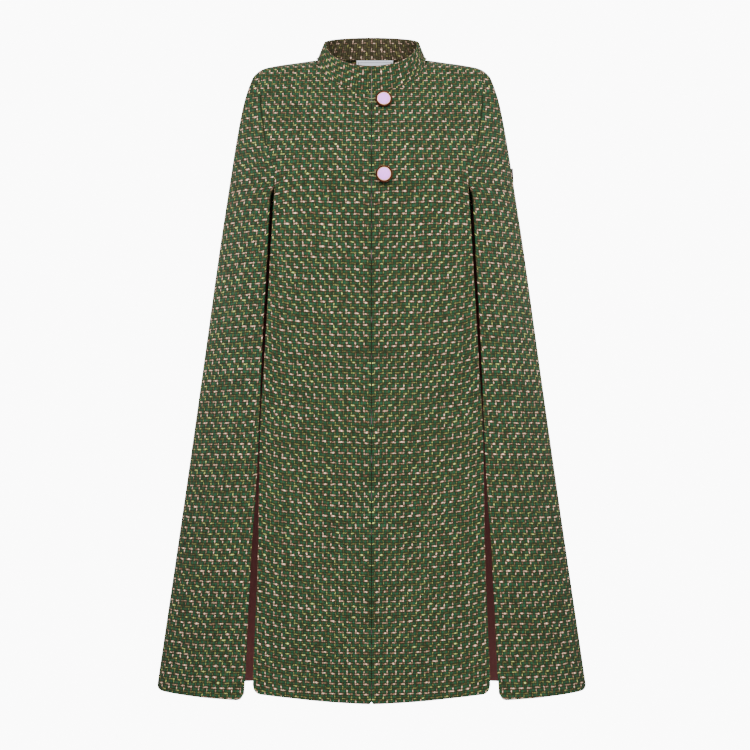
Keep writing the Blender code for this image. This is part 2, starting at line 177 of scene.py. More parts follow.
# Soft troughs and ridges: panel, place across it at the top and the hem, rows where it starts and is full,
# half width and depth in metres (a ridge is positive); then the width of each panel that the places share out
Crease = namedtuple("Crease", "panel top_place hem_place start full half_width depth")
CREASES = [Crease(*row) for row in (
    ("front", 0.3, 0.36, 8.0, 15.0, 0.03, 0.0012),
    ("front", 0.62, 0.66, 9.0, 16.0, 0.024, -0.0014),
    ("front", 0.86, 0.9, 8.5, 13.0, 0.014, -0.001),
    ("side", 0.16, 0.12, 7.0, 15.0, 0.026, 0.0014),
    ("side", 0.3, 0.28, 8.0, 16.0, 0.03, -0.0016),
    ("side", 0.62, 0.66, 6.0, 15.0, 0.035, -0.002),
    ("side", 0.8, 0.84, 7.0, 16.0, 0.03, 0.0018),
    ("back", 0.2, 0.17, 7.0, 15.0, 0.034, 0.002),
    ("back", 0.37, 0.35, 8.0, 16.0, 0.03, -0.0018),
    ("back", 0.58, 0.61, 7.5, 15.0, 0.036, 0.0016),
    ("back", 0.79, 0.82, 7.0, 16.0, 0.032, -0.002),
)]
CREASE_WIDTHS = {"front": 0.17, "side": 0.38, "back": 0.38}

# Buttons and loops. The rim's underside is given as radii and heights over the shank; the face as shares of
# its radius, and for its line also as depths under the lip
Button = namedtuple("Button", "name height droop")
BUTTONS = (
    Button("upper", -0.0708, math.radians(18)),
    Button("lower", -0.1835, math.radians(10)),
)
BUTTON_X = 0.0178
BUTTON_RADIUS = 0.0122
FACE_RADIUS = 0.0100
BUTTON_STEPS = 72
SHANK_RADIUS = 0.0028
SHANK_HEIGHT = 0.0043
FACE_SEAT = 0.0018
RIM_LIP = 0.0016
FACE_DOME = 0.0008
AXIS_RADIUS = 0.0002
RIM_POINTS = 13
RIM_UNDERSIDE = ((BUTTON_RADIUS, 0.0016), (BUTTON_RADIUS - 0.0006, 0.0006), (BUTTON_RADIUS - 0.0018, 0.0),
                 (SHANK_RADIUS + 0.0006, -0.0002), (SHANK_RADIUS, -0.0008))
DOME_PLACES = (0.02, 0.2, 0.4, 0.55, 0.7, 0.82)
LINE_PROFILE = ((0.91, 0.0004), (0.925, 0.0002), (0.945, 0.0001), (0.97, 0.00015), (0.99, 0.0003),
                (1.0, 0.0006))
SHARP_ANGLE = math.radians(50)
LOOP_ROOT_X = -0.003
LOOP_ROOT_HALF = 0.002
LOOP_RADIUS = 0.0009
PLY_RADIUS = 0.00052
PLY_TURN = 0.0045
LOOP_POINTS = 40
LOOP_STEPS = 150
PLY_SIDES = 8

# Neck label and tab; the label's face and its border line in millimetres
LABEL_HALF_WIDTH = 0.0286
LABEL_SHIFT = 0.005
LABEL_LAST_ROW = 3.0
LABEL_ROW_STEP = 0.25
LABEL_COLUMNS = 24
LABEL_RISE = 0.8
LABEL_FACE = (57.0, 20.0)
LABEL_LINE_INSET = 2.6
LABEL_LINE_HALF = 0.7
TAB_TOP_LIFT = 0.0028
TAB_END_LIFT = 0.0006
TAB_THICKNESS = 0.003
TAB_ROWS = 10
TAB_COLUMNS = 6

# Height down to which the front edges show their grey thread, with a painted shadow line below it, the
# heights where the armhole seam shows as a painted shade line, and the material slots of both
TRIM_END = -0.070
TRIM_FADE = 0.006
SEAM_LINE_TOP = -0.056
SEAM_LINE_END = -0.131
CENTRE_SLOT = 2
SEAM_SHADE_SLOT = 3

# Steps over which slopes are measured
ANGLE_STEP = math.radians(2.0)
HEIGHT_STEP = 0.0015

# The camera: place and lens, as found from the outline's perspective
CAMERA_PLACE = (0.0051, -3.6, -0.4728)
CAMERA_LENS = 115.2
SENSOR_WIDTH = 36.0

# The stage: a round floor, a white screen far behind, an even sky and soft lights, their spread in degrees
FLOOR_RADIUS = 2.2
FLOOR_LEVEL = -1.4
FLOOR_SIDES = 64
SCREEN_CORNERS = ((-6, 30, -6.4), (6, 30, -6.4), (6, 30, 5.6), (-6, 30, 5.6))
SCREEN_GLOW = 10.0
SKY_STRENGTH = 0.58
Light = namedtuple("Light", "name spot aim size power spread", defaults=(180,))
LIGHTS = [Light(*row) for row in (
    ("key", (-0.8, -3.0, 2.2), (0, 0, -0.25), (2.4, 1.8), 235),
    ("fill", (1.2, -3.0, 1.6), (0, 0, -0.3), (2.0, 1.8), 152),
    ("side_light_right", (-1.1, 0.22, 0.3), (-0.23, 0, -0.38), (0.5, 0.4), 1.9, 50),
    ("side_light_left", (1.1, 0.22, 0.3), (0.23, 0, -0.38), (0.5, 0.4), 1.9, 50),
    ("inner_light", (0, -0.03, -0.69), (0, 0.1, -0.69), (0.36, 0.14), 0.2),
    ("chest_light", (0, -1.6, 0.3), (0, -0.14, -0.36), (0.6, 0.3), 0.19, 28),
    ("rear", (0, 3.2, 1.8), (0, 0, -0.35), (2.4, 1.8), 170),
)]

Panel = namedtuple("Panel", "height angle facing share row")


def monotone(rows, column):
    """Smooth curve through one column of a table, without overshoot, as a function of height."""
    table = sorted((row.height, getattr(row, column)) for row in rows)
    heights, values = np.array(table).T
    spans = np.diff(heights)
    slopes = np.diff(values) / spans
    tangents = np.concatenate((slopes[:1], np.zeros(len(slopes) - 1), slopes[-1:]))
    before, after = slopes[:-1], slopes[1:]
    same_way = before * after > 0
    tangents[1:-1][same_way] = (2 * before * after)[same_way] / (before + after)[same_way]

    def value(height):
        height = np.clip(height, heights[0], heights[-1])
        i = np.clip(np.searchsorted(heights, height) - 1, 0, len(spans) - 1)
        t = (height - heights[i]) / spans[i]
        ends = (1 + 2 * t) * (1 - t) ** 2 * values[i] + t * t * (3 - 2 * t) * values[i + 1]
        bends = t * (1 - t) ** 2 * tangents[i] + t * t * (t - 1) * tangents[i + 1]
        return ends + bends * spans[i]

    return value


def curves(rows):
    """A smooth curve for each column of a table after its height."""
    return [monotone(rows, column) for column in rows[0]._fields[1:]]


half_width, front_reach, back_reach, side_line, turn_power = curves(SECTIONS)
front_edge, side_edge, back_seam = curves(EDGES)
warp_pitch, weft_pitch, even_rise, edge_rise = curves(FRONT_PITCHES)


def length(vectors):
    return np.linalg.norm(vectors, axis=-1)


def unit(vectors):
    return vectors / np.maximum(np.linalg.norm(vectors, axis=-1, keepdims=True), 1e-12)


def smooth_step(t):
    t = np.clip(t, 0, 1)
    return t * t * (3 - 2 * t)


def ridge(x):
    """Height of the shoulder line at a distance from the centre plane."""
    heights = np.linspace(-SHOULDER_DEPTH, 0.0, SHOULDER_SAMPLES)
    return np.interp(x, half_width(heights)[::-1], heights[::-1])


def body(height, angle):
    """Outer surface of the cape; the angle runs from the centre front round the left side to the back."""
    turn = np.abs(np.cos(angle)) ** turn_power(height)
    ahead = side_line(height) - (side_line(height) + front_reach(height)) * turn
    behind = side_line(height) + (back_reach(height) - side_line(height)) * turn
    y = np.where(np.cos(angle) > 0, ahead, behind)
    return np.stack(np.broadcast_arrays(half_width(height) * np.sin(angle), y, height), axis=-1)


def outward(height, angle):
    """Unit normals of the cape, from the slopes across it and up it."""
    across = body(height, angle + ANGLE_STEP) - body(height, angle - ANGLE_STEP)
    up = body(height + HEIGHT_STEP, angle) - body(height - HEIGHT_STEP, angle)
    return unit(np.cross(across, up))


def creased(kind, panel):
    """How far the soft troughs and ridges move a panel's points out."""
    moved = np.zeros_like(panel.height)
    for crease in CREASES:
        if crease.panel != kind:
            continue
        down = panel.row / LAST_ROW
        place = crease.top_place + (crease.hem_place - crease.top_place) * down
        away = (panel.share - place) * CREASE_WIDTHS[kind] / crease.half_width
        grown = smooth_step((panel.row - crease.start) / (crease.full - crease.start))
        moved += crease.depth * grown * np.exp(-away ** 2)
    return moved


def layer(kind, panel, depth):
    """A panel's grid of points, a depth under the outer surface, kept off the shoulder seam."""
    points = body(panel.height, panel.angle)
    seam_line = side_line(panel.height) + panel.facing * SEAM / 2
    if panel.facing < 0:
        points[..., 1] = np.minimum(points[..., 1], seam_line)
    if panel.facing > 0:
        points[..., 1] = np.maximum(points[..., 1], seam_line)
    lift = (creased(kind, panel) - depth)[..., None]
    return points + lift * outward(panel.height, panel.angle)


def angle_at(x, height):
    """The angle of the surface's front half at a distance from the centre plane."""
    return np.arcsin(np.clip(x / half_width(height), -1, 1))


def corner(distance, radius):
    """How far a rounded corner lifts the hem at a distance from the edge."""
    inside = np.clip(radius - distance, 0, radius)
    return radius - np.sqrt(radius ** 2 - inside ** 2)


def neck_height(x, drop):
    """Height of the neck seam at a distance from the centre plane, an ellipse seen from the front."""
    return -drop * np.sqrt(np.clip(1 - (x / NECK_HALF_WIDTH) ** 2, 0, 1))


def row_share(row):
    """How far down its column a cross row lies, from 0 at the top to 1 at the hem."""
    levels = np.array(ROW_LEVELS)
    shares = (levels - levels[0]) / (levels[-1] - levels[0])
    return np.interp(row, np.arange(len(levels)), shares)


def eased(count, gather):
    """Places from 0 to 1 that lie closer together towards both ends."""
    t = np.linspace(0, 1, count)
    return t - gather * np.sin(2 * math.pi * t) / (2 * math.pi)


def front_panel(places, rows):
    """The left front; places run from the centre edge to the armhole seam and the slit."""
    hem_edge = float(front_edge(HEM))
    x_top = HALF_OPENING + (PANEL_END - HALF_OPENING) * places
    top = np.where(x_top < NECK_HALF_WIDTH, neck_height(x_top, NECK_DROP), ridge(x_top))
    x_hem = x_top * hem_edge / front_edge(top)
    first = HALF_OPENING * hem_edge / float(front_edge(-NECK_DROP))
    last = PANEL_END * hem_edge / float(front_edge(ridge(PANEL_END)))
    hem = HEM + FRONT_HEM_RISE * (x_hem / last) ** FRONT_HEM_POWER
    hem = hem + corner(last - x_hem, FRONT_CORNER) + corner(x_hem - first, CENTRE_CORNER)
    height = top + (hem - top) * row_share(rows)[:, None]
    x = x_top * front_edge(height) / front_edge(top)
    angle = angle_at(x, height)
    return Panel(height, angle, -1, places + 0 * height, rows[:, None] + 0 * height)


def back_panel(places, rows):
    """The back; places run from the right seam across the centre to the left seam."""
    x_top = (2 * places - 1) * PANEL_END
    reach = np.abs(x_top)
    top = np.where(reach < NECK_HALF_WIDTH, neck_height(reach, -NECK_RISE), ridge(reach))
    height = top + (HEM - top) * row_share(rows)[:, None]
    x = x_top * back_seam(height) / back_seam(top)
    angle = math.pi - angle_at(x, height)
    return Panel(height, angle, 1, places + 0 * height, rows[:, None] + 0 * height)


def side_panel(places, rows):
    """The left side panel, hung from the armhole seam; rows count on from the seam's lowest row."""
    ridge_height = float(ridge(PANEL_END))
    front_hem = HEM + FRONT_HEM_RISE + FRONT_CORNER

    def front_angle(height):
        return angle_at(side_edge(height) + SEAM / 2, height)

    def back_angle(height):
        return math.pi - angle_at(back_seam(height) + SEAM / 2, height)

    ahead = places <= 0.5
    seam_row = SEAM_ROWS * np.abs(1 - 2 * places)
    seam_end = np.where(ahead, front_hem, HEM)
    top = ridge_height + (seam_end - ridge_height) * row_share(seam_row)
    top = np.minimum(top, ridge(SHOULDER_X + SEAM / 2))
    top_angle = np.where(ahead, front_angle(top), back_angle(top))
    outermost = half_width(HEM) * (1 - np.sin((1 - places) * front_angle(HEM) + places * back_angle(HEM)))
    hem = HEM + corner(places * SIDE_HEM_LENGTH, SIDE_CORNER) + OUTER_LIFT * np.exp(-outermost / OUTER_ROUND)

    start = ridge_height + (HEM - ridge_height) * row_share(SEAM_ROWS)
    level = ridge_height + (HEM - ridge_height) * row_share(rows)
    straight = ((level - start) / (HEM - start))[:, None]
    down = ((rows - SEAM_ROWS) / (LAST_ROW - SEAM_ROWS))[:, None]
    swell = np.sin(math.pi * places)
    height = top + (hem - top) * ((1 - swell) * straight + swell * down ** CAP_POWER)

    def spread(levels):
        return (1 - places) * front_angle(levels) + places * back_angle(levels)

    angle = spread(height) + (top_angle - spread(top)) * (1 - down) ** FADE_POWER
    return Panel(height, angle, 0, places + 0 * height, rows[:, None] + 0 * height)


def collar_surface(rise, angle):
    """Outer face of the collar: rise 0 is the neck seam and 1 the top edge, angle 0 the centre front."""
    ahead = np.cos(angle) > 0
    x = NECK_HALF_WIDTH * np.sin(angle)
    base_height = np.where(ahead, -NECK_DROP, -NECK_RISE) * np.cos(angle)
    at_side = angle_at(np.abs(x), base_height)
    base = body(base_height, np.where(ahead, at_side, math.pi - at_side))
    base[..., 0] = x
    base[..., 2] += SEAM
    top_y = -np.where(ahead, COLLAR_FRONT, COLLAR_BACK) * np.cos(angle)
    end_height = np.where(ahead, COLLAR_HEIGHTS["front"], COLLAR_HEIGHTS["back"])
    side_height = COLLAR_HEIGHTS["side"]
    top_height = side_height + (end_height - side_height) * np.abs(np.cos(angle))
    top = np.stack((COLLAR_HALF_WIDTH * np.sin(angle), top_y, top_height), axis=-1)
    return base + (top - base) * np.asarray(rise)[..., None]


def collar_outward(rise, angle):
    """Unit normals of the collar, square to the straight line from its seam to its top edge."""
    across = collar_surface(rise, angle + ANGLE_STEP) - collar_surface(rise, angle - ANGLE_STEP)
    up = collar_surface(np.ones_like(rise), angle) - collar_surface(np.zeros_like(rise), angle)
    return unit(np.cross(across, up))


def boundary(rows, columns):
    """The stations round the edge of a grid, in order, with their neighbours inside it."""
    ring = [(0, c) for c in range(columns)]
    ring += [(r, columns - 1) for r in range(1, rows)]
    ring += [(rows - 1, c) for c in range(columns - 2, -1, -1)]
    ring += [(r, 0) for r in range(rows - 2, 0, -1)]
    inside = [(min(max(r, 1), rows - 2), min(max(c, 1), columns - 2)) for r, c in ring]
    return tuple(np.transpose(ring)), tuple(np.transpose(inside))


def add(name, data):
    item = bpy.data.objects.new(name, data)
    bpy.context.scene.collection.objects.link(item)
    return item


def new_mesh(name, verts, faces, materials):
    mesh = bpy.data.meshes.new(name)
    mesh.from_pydata(verts, [], faces)
    for material in materials:
        mesh.materials.append(material)
    return mesh


def shell(name, points, normals, thickness, weave, materials, mirror=False, trim=None, trim_from=0):
    """A closed cloth shell under a grid of outer points, with edges rounded like a fold.

    The materials are those of the outside and the inside, and then those that trim, a number for each place
    on the grid, gives to parts of the edge. At the armhole seam the strip next to the last edge takes the
    painted seam shade too.
    """
    rows, columns = points.shape[:2]
    half = thickness / 2
    middle = points - half * normals
    ring, inside = boundary(rows, columns)
    around = len(ring[0])
    edge = middle[ring]
    away = edge - middle[inside]
    edge_normals = normals[ring]
    away = away - (away * edge_normals).sum(axis=-1, keepdims=True) * edge_normals
    reach = np.linalg.norm(away, axis=-1, keepdims=True)
    away = unit(away)
    edge = edge - away * np.minimum(EDGE_INSET * half, EDGE_MOST * reach)
    middle = middle.copy()
    middle[ring] = edge

    turns = np.linspace(0, math.pi, EDGE_STEPS + 2)[1:-1]
    rounds = [edge + half * (math.sin(t) * away + math.cos(t) * edge_normals) for t in turns]
    outer, inner = ((middle + side * normals).reshape(-1, 3) for side in (half, -half))
    verts = np.concatenate([outer, *rounds, inner])
    count = rows * columns
    at = np.arange(count).reshape(rows, columns)
    quads = np.stack((at[:-1, :-1], at[1:, :-1], at[1:, 1:], at[:-1, 1:]), axis=-1).reshape(-1, 4)
    last = count + around * EDGE_STEPS
    faces = [quads, quads[:, ::-1] + last]
    rounded = [count + around * k + np.arange(around) for k in range(EDGE_STEPS)]
    loops = [at[ring], *rounded, last + at[ring]]
    for upper, lower in zip(loops, loops[1:]):
        faces.append(np.stack((upper, np.roll(upper, -1), np.roll(lower, -1), lower), axis=-1))
    faces = np.concatenate(faces)
    if mirror:
        verts = verts * np.array((-1.0, 1.0, 1.0))
        faces = faces[:, ::-1]
    flat = weave.reshape(-1, 2)
    edge_weave = weave[ring]
    onward = (edge_weave - weave[inside]) / np.maximum(reach, half)
    flat = np.concatenate([flat, *[edge_weave + onward * half * t for t in turns], flat])
    mesh = new_mesh(name, verts.tolist(), faces.tolist(), materials)
    coords = mesh.uv_layers.new(name="weave")
    coords.data.foreach_set("uv", flat[faces.reshape(-1)].astype(np.float32).reshape(-1))
    slots = np.zeros(len(faces), dtype=np.int32)
    slots[len(quads):2 * len(quads)] = 1
    edges = slots[2 * len(quads):].reshape(EDGE_STEPS + 1, around)
    edges[EDGE_STEPS // 2 + 1:] = 1
    if trim is not None:
        at_edge = trim[ring]
        edges[trim_from:, at_edge > 0] = at_edge[at_edge > 0]
        outside = slots[:len(quads)].reshape(rows - 1, columns - 1)
        # The outermost strip at the armhole seam is painted with the seam's shade as well
        outside[trim[:-1, -1] == SEAM_SHADE_SLOT, -1] = SEAM_SHADE_SLOT
    mesh.polygons.foreach_set("material_index", slots)
    mesh.shade_smooth()
    return add(name, mesh)


def even_pitch(height):
    return WEFT_PITCH + 0 * height


def length_up(reach, height, pitch):
    """Threads counted down from the top of a profile, by its true length and the pitch at each height."""
    heights = np.linspace(HEM - 0.05, 0.06, ARC_SAMPLES)
    slope = np.gradient(reach(heights), heights)
    step = np.sqrt(1 + slope ** 2) / pitch(heights)
    total = np.concatenate(([0.0], np.cumsum((step[1:] + step[:-1]) / 2 * np.diff(heights))))
    return total[-1] - np.interp(height, heights, total)


def over_shoulder(panel, down):
    """Threads that the shoulder's slope adds above the chest, as its true length beats that at the centre."""
    points = body(panel.height, panel.angle)
    lengths = length(np.diff(points, axis=0)) / WEFT_PITCH
    added = np.maximum(lengths - np.abs(np.diff(down, axis=0)), 0)
    middle = (panel.height[1:] + panel.height[:-1]) / 2
    added = added * smooth_step((middle - SHOULDER_START) / (SHOULDER_FULL - SHOULDER_START))
    above = np.cumsum(added[::-1], axis=0)[::-1]
    return np.concatenate((above, np.zeros_like(above[:1])))


def front_weave(panel):
    """Warp threads counted in to the centre front, weft threads down; wefts rise towards the slit."""
    x = half_width(panel.height) * np.sin(panel.angle)
    share = np.clip(x / front_edge(panel.height), 0, 1)
    rise = even_rise(panel.height) * share + edge_rise(panel.height) * share ** EDGE_RISE_POWER
    down = length_up(front_reach, panel.height - rise, weft_pitch)
    down = down - over_shoulder(panel, down)
    return np.stack((-x / warp_pitch(panel.height), down), axis=-1)


def side_weave(panel):
    """Warp threads counted round from the slit, leaning outwards going down; wefts rise a little outwards."""
    start = angle_at(side_edge(panel.height), panel.height)
    shares = np.linspace(0, 1, ROUND_SAMPLES)
    angles = start[..., None] + (panel.angle - start)[..., None] * shares
    steps = np.diff(body(panel.height[..., None], angles), axis=2)
    spans = np.maximum(np.abs(steps[..., 0]), SIDE_LEAST_SHARE * length(steps))
    round_it = spans.sum(axis=2) * np.sign(panel.angle - start)
    across = round_it + SIDE_LEAN * panel.height
    down = length_up(half_width, panel.height, even_pitch)
    down = down - SIDE_WEFT_SLOPE * round_it / WEFT_PITCH
    return np.stack((across / WARP_PITCH, -down), axis=-1)


def back_weave(panel):
    """Warp threads counted across from the centre back, weft threads down."""
    x = half_width(panel.height) * np.sin(panel.angle)
    down = length_up(back_reach, panel.height, even_pitch)
    down = down - over_shoulder(panel, down)
    return np.stack((x / WARP_PITCH, down), axis=-1)


class Graph:
    """A node material that is built up with short calls."""

    def __init__(self, name):
        self.material = bpy.data.materials.new(name)
        self.material.use_nodes = True
        self.tree = self.material.node_tree
        self.shader = self.tree.nodes["Principled BSDF"]

    def put(self, value, socket):
        if isinstance(value, bpy.types.NodeSocket):
            self.tree.links.new(value, socket)
        else:
            socket.default_value = value

    def node(self, kind, inputs=(), **settings):
        """A new node with its settings, and values or links for its inputs by number or name."""
        node = self.tree.nodes.new("ShaderNode" + kind)
        for name, value in settings.items():
            setattr(node, name, value)
        for key, value in dict(inputs).items():
            self.put(value, node.inputs[key])
        return node

    def math(self, operation, *values):
        return self.node("Math", enumerate(values), operation=operation).outputs[0]

    def times(self, first, second):
        return self.math("MULTIPLY", first, second)

    def plus(self, first, second):
        return self.math("ADD", first, second)

    def minus(self, first, second):
        return self.math("SUBTRACT", first, second)

    def scaled(self, value, factor, start):
        """The value times the factor, added to the start."""
        return self.math("MULTIPLY_ADD", value, factor, start)

    def blend(self, share, first, second):
        """Between two numbers or sockets of numbers."""
        return self.node("Mix", {0: share, 2: first, 3: second}).outputs[0]

    def tint(self, share, first, second, mode="MIX"):
        """Between two colours."""
        first, second = ((*c, 1.0) if isinstance(c, tuple) else c for c in (first, second))
        inputs = {0: share, 6: first, 7: second}
        return self.node("Mix", inputs, data_type="RGBA", blend_type=mode).outputs[2]

    def vector(self, x, y, z=0.0):
        return self.node("CombineXYZ", enumerate((x, y, z))).outputs[0]

    def grey(self, value):
        return self.vector(value, value, value)

    def noise(self, place, scale, detail=2.0):
        return self.node("TexNoise", {"Vector": place, "Scale": scale, "Detail": detail}).outputs

    def speck(self, place):
        """A number from 0 to 1 that differs from cell to cell."""
        return self.node("TexWhiteNoise", {"Vector": place}, noise_dimensions="2D").outputs["Value"]

    def parts(self, socket):
        return self.node("SeparateXYZ", {0: socket}).outputs

    def weave_place(self):
        return self.parts(self.node("UVMap", uv_map="weave").outputs[0])

    def object_place(self):
        return self.node("TexCoord").outputs["Object"]

    def spread(self, socket, low=0.3, high=0.7):
        """Stretch a noise value between two limits to the range 0 to 1."""
        return self.node("MapRange", {"Value": socket, "From Min": low, "From Max": high}).outputs[0]

    def curve(self, socket, points):
        """A number through straight lines between points from (0, 0) to (1, 1)."""
        node = self.node("FloatCurve", {"Value": socket})
        line = node.mapping.curves[0]
        for x, y in points:
            line.points.new(x, y)
        for point in line.points:
            point.handle_type = "VECTOR"
        node.mapping.update()
        return node.outputs[0]

    def bump(self, height, distance, strength=1.0):
        node = self.node("Bump", {"Strength": strength, "Distance": distance, "Height": height})
        self.put(node.outputs[0], self.shader.inputs["Normal"])

    def finish(self, colour, roughness, **others):
        for name, value in dict(Base_Color=colour, Roughness=roughness, **others).items():
            self.put(value, self.shader.inputs[name.replace("_", " ")])
        return self.material


def linear(red, green, blue):
    """Screen colour, with no channel under 11, to linear light."""
    return tuple(((c / 255 + 0.055) / 1.055) ** 2.4 for c in (red, green, blue))


# Yarn tones, each from dark to light; brown is the painted shade of thin threads pinched under thick ones,
# and shadow the painted shade in the gaps between threads
Tones = namedtuple("Tones", "green_dark green_light olive_dark olive_light pink_dark pink_light brown shadow")
OUTSIDE = Tones((0.003, 0.038, 0.016), (0.008, 0.084, 0.039), (0.080, 0.068, 0.024), (0.58, 0.64, 0.19),
                (0.16, 0.080, 0.045), (0.98, 0.63, 0.44), (0.054, 0.047, 0.017), (0.014, 0.014, 0.006))
INSIDE = Tones((0.036, 0.037, 0.019), (0.086, 0.082, 0.040), (0.090, 0.078, 0.030), (0.52, 0.50, 0.16),
               (0.17, 0.090, 0.060), (0.80, 0.54, 0.40), (0.056, 0.046, 0.022), (0.016, 0.013, 0.007))

# Where each of the four threads of a repeat ends: thin pink, thick green, thin olive, thick green
THREAD_ENDS = ((0.20, 0.25), (0.51, 0.50), (0.68, 0.75))

# How the threads wander, from wide drifts to frayed edges: size and detail of the noise, its layer, and the
# reach across and down in threads
Wobble = namedtuple("Wobble", "scale detail layer across down")
WOBBLES = (
    Wobble(0.10, 2.0, 0.0, 1.3, 1.1),
    Wobble(0.55, 1.0, 7.0, 0.45, 0.45),
    Wobble(2.6, 1.0, 13.0, 0.7, 0.7),
)

# Along a thread the slubs are drawn out, and each thread takes its own line of the noise
SLUB_STRETCH = 0.45
SLUB_APART = 5.17
TWISTS = 3.0
RELIEF = 0.0005


def four_threads(g, count):
    """Thread counts, with the thin and thick threads of each repeat given their own widths."""
    repeat = g.times(count, 0.25)
    part = g.curve(g.math("FRACT", repeat), THREAD_ENDS)
    return g.times(g.plus(g.math("FLOOR", repeat), part), 4.0)


def tweed_material(name, tones):
    """A twill with wefts over three warps and under one, and threads in turn pink, green, olive and green.

    Both ways have that order of threads, and each thread is uneven, as slub yarn is.
    """
    g = Graph(name)
    across, down, _ = g.weave_place()
    u, v = across, down
    for wobble in WOBBLES:
        shift = g.parts(g.noise(g.vector(across, down, wobble.layer), wobble.scale, wobble.detail)[1])
        u = g.scaled(g.minus(shift[0], 0.5), wobble.across, u)
        v = g.scaled(g.minus(shift[1], 0.5), wobble.down, v)
    u = four_threads(g, u)
    v = four_threads(g, v)
    column = g.math("FLOOR", u)
    row = g.math("FLOOR", v)
    warp_run = g.math("WRAP", g.plus(g.plus(v, column), 1.0), 4.0, 0.0)
    weft_run = g.math("DIVIDE", g.math("WRAP", g.plus(u, row), 4.0, 0.0), 3.0)
    warp_up = g.math("LESS_THAN", warp_run, 1.0)

    run = g.blend(warp_up, weft_run, warp_run)
    side_place = g.blend(warp_up, g.math("FRACT", v), g.math("FRACT", u))
    beside = g.math("ABSOLUTE", g.scaled(side_place, 2.0, -1.0))
    thread = g.blend(warp_up, row, column)

    slub_x = g.blend(warp_up, g.times(u, SLUB_STRETCH), g.times(column, SLUB_APART))
    slub_y = g.blend(warp_up, g.times(row, SLUB_APART), g.times(v, SLUB_STRETCH))
    slub_place = g.vector(slub_x, slub_y, g.times(warp_up, 8.6))
    slub = g.spread(g.noise(slub_place, 1.0)[0])
    knot = g.spread(g.noise(g.vector(slub_x, slub_y, 31.0), 3.4)[0], 0.36, 0.64)

    thin = g.minus(1.0, g.math("WRAP", thread, 2.0, 0.0))
    cell = g.speck(g.vector(column, row))
    knot = g.scaled(g.minus(cell, 0.5), 1.2, knot)
    knot = g.math("MINIMUM", g.math("MAXIMUM", knot, 0.0), 1.0)
    gleam = g.times(slub, g.scaled(g.math("POWER", cell, 2.2), 1.1, 0.05))
    gleam = g.times(gleam, g.blend(warp_up, 1.6, 1.3))
    width = g.scaled(thin, -0.13, g.scaled(slub, 0.42, 0.62))
    beside = g.math("MINIMUM", g.math("DIVIDE", beside, width), 1.0)
    crown = g.math("POWER", g.minus(1.0, g.times(beside, beside)), 0.85)
    arch = g.math("POWER", g.math("SINE", g.times(run, math.pi)), g.blend(warp_up, 0.8, 3.2))
    dip = g.math("ABSOLUTE", g.math("SINE", g.times(u, math.pi)))
    order = g.math("WRAP", thread, 4.0, 0.0)
    pink = g.math("LESS_THAN", order, 0.5)
    olive = g.math("COMPARE", order, 2.0, 0.5)
    beaded = g.scaled(olive, 0.50, g.scaled(pink, 0.45, 0.45))
    beads = g.minus(1.0, g.times(beaded, g.minus(1.0, dip)))
    arch = g.times(arch, g.blend(warp_up, beads, 1.0))
    height = g.times(crown, g.scaled(arch, 0.9, 0.1))
    thin_warp = g.minus(1.0, g.math("WRAP", column, 2.0, 0.0))
    thick_weft = g.times(g.math("WRAP", row, 2.0, 0.0), g.minus(1.0, warp_up))
    run_end = g.math("COMPARE", g.math("WRAP", g.plus(column, row), 4.0, 0.0), 2.0, 0.5)
    crossed = g.times(thin_warp, g.math("MAXIMUM", thick_weft, g.times(run_end, 0.7)))
    pinch = g.times(crossed, g.math("POWER", dip, 0.5))
    height = g.times(height, g.scaled(pinch, -0.35, 1.0))

    colour = g.tint(slub, tones.green_dark, tones.green_light)
    colour = g.tint(olive, colour, g.tint(gleam, tones.olive_dark, tones.olive_light))
    colour = g.tint(pink, colour, g.tint(knot, tones.pink_dark, tones.pink_light))
    # Painted shade: thin threads pinched low under thick ones are tinted brown
    colour = g.tint(g.times(pinch, 0.85), colour, tones.brown)

    lie = g.blend(warp_up, g.plus(u, g.times(v, 0.45)), g.plus(v, g.times(u, 0.45)))
    twist = g.math("SINE", g.times(lie, 2 * math.pi * TWISTS))
    grain = g.noise(g.vector(across, down), 9.0)[0]
    lit = g.scaled(twist, 0.08, g.scaled(grain, 0.5, 0.75))
    colour = g.tint(1.0, colour, g.grey(lit), "MULTIPLY")
    open_share = g.math("POWER", height, 0.85)
    colour = g.tint(open_share, tones.shadow, colour)
    wide = g.noise(g.vector(across, down, 3.0), 0.03, 1.0)[0]
    tone = g.scaled(wide, 0.24, 0.88)
    colour = g.tint(1.0, colour, g.grey(tone), "MULTIPLY")
    relief = g.plus(height, g.plus(g.times(grain, 0.35), g.times(twist, 0.06)))
    g.bump(relief, RELIEF)
    return g.finish(colour, g.blend(grain, 0.95, 0.8), Specular_IOR_Level=0.08)


def lining_material():
    g = Graph("lining_satin")
    across, down, _ = g.weave_place()
    fine = g.noise(g.vector(g.times(across, 9.0), g.times(down, 0.8)), 1.0, 3.0)[0]
    wide = g.noise(g.vector(across, down), 0.06, 1.0)[0]
    share = g.scaled(fine, 0.6, g.times(wide, 0.4))
    colour = g.tint(share, (0.058, 0.016, 0.015), (0.108, 0.034, 0.032))
    g.bump(fine, 0.0001, 0.6)
    return g.finish(colour, g.blend(wide, 0.55, 0.7), Specular_IOR_Level=0.1)


def label_material():
    """Plain pale satin with a thin grey border line; the place runs from 0 to 1 each way."""
    g = Graph("label_satin")
    across, down, _ = g.weave_place()
    wide, tall = (g.times(g.minus(0.5, g.math("ABSOLUTE", g.minus(way, 0.5))), size)
                  for way, size in zip((across, down), LABEL_FACE))
    inset = g.math("MINIMUM", wide, tall)
    line = g.math("COMPARE", inset, LABEL_LINE_INSET, LABEL_LINE_HALF)
    fine = g.noise(g.vector(g.times(across, 160.0), g.times(down, 60.0)), 1.0)[0]
    colour = g.tint(fine, (0.72, 0.76, 0.84), (0.80, 0.84, 0.92))
    colour = g.tint(line, colour, (0.24, 0.25, 0.29))
    g.bump(fine, 0.0001, 0.5)
    return g.finish(colour, g.blend(fine, 0.45, 0.65))


